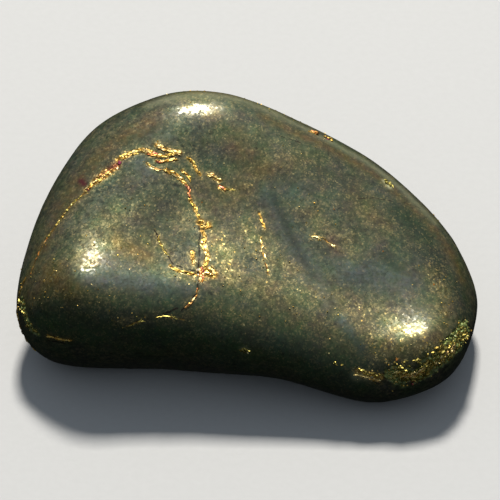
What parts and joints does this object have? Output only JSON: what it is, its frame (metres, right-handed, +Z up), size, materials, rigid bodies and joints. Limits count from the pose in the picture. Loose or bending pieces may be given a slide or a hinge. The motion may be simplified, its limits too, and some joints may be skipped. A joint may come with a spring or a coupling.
{
  "type": "chalcopyrite specimen",
  "caption": "Worn nugget of tarnished chalcopyrite, broad and domed at one end, drawn out to a low toe, with seams and pits; lies on a flat underside as a display stone.",
  "frame": {"origin": "centre of the bounding box, at the level of the flat underside it rests on", "axes": "+X along the nugget's length towards its low toe, +Y towards its high back, +Z up from the face it rests on"},
  "size_m": [0.05, 0.034, 0.0211],
  "materials": {
    "tarnished_chalcopyrite": "worn smooth, metallic, tarnished olive to brown with brass-yellow seams"
  },
  "bodies": {
    "root": {"chalcopyrite_nugget": "tarnished_chalcopyrite"}
  },
  "joints": []
}
